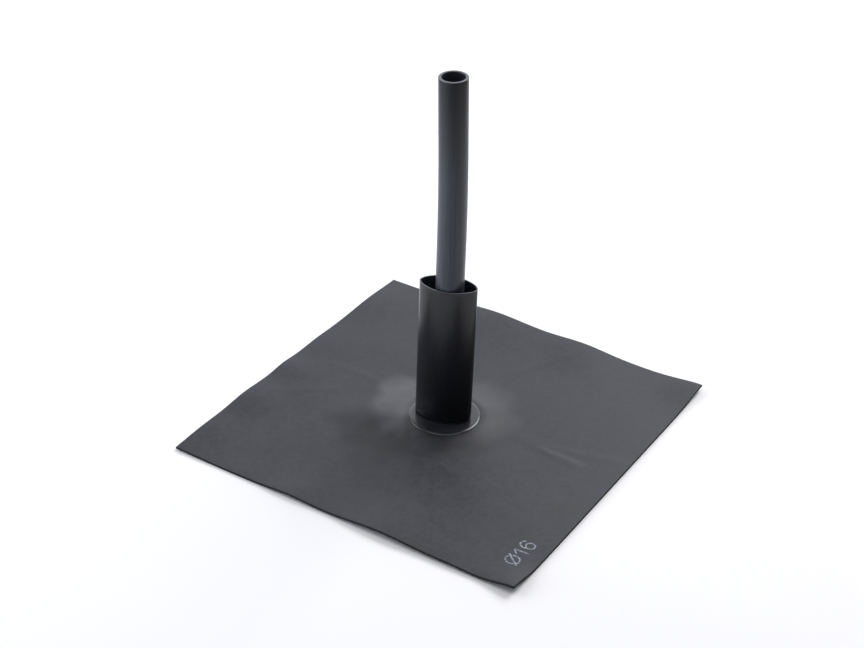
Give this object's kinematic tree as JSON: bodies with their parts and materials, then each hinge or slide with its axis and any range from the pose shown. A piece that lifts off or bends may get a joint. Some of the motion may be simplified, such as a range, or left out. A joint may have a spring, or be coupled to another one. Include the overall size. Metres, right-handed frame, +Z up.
{
  "type": "sealing sleeve",
  "caption": "Sealing sleeve: a square rubber sheet with a low cone, a round collar disc and a flexible tube standing through both, inside a loose lay-flat outer sleeve.",
  "frame": {"origin": "under the middle of the square sheet, on the surface the sheet lies on", "axes": "+Z up along the tube, X and Y along the edges of the sheet"},
  "size_m": [0.275, 0.275, 0.271],
  "materials": {
    "membrane_rubber": "matte, with faint fold lines",
    "disc_rubber": "smooth, semi-gloss",
    "tube_rubber": "matte with a soft sheen",
    "sleeve_rubber": "smooth with a soft sheen"
  },
  "bodies": {
    "root": {"membrane_sheet": "membrane_rubber", "collar_disc": "disc_rubber", "inner_tube": "tube_rubber", "outer_sleeve": "sleeve_rubber"}
  },
  "joints": []
}
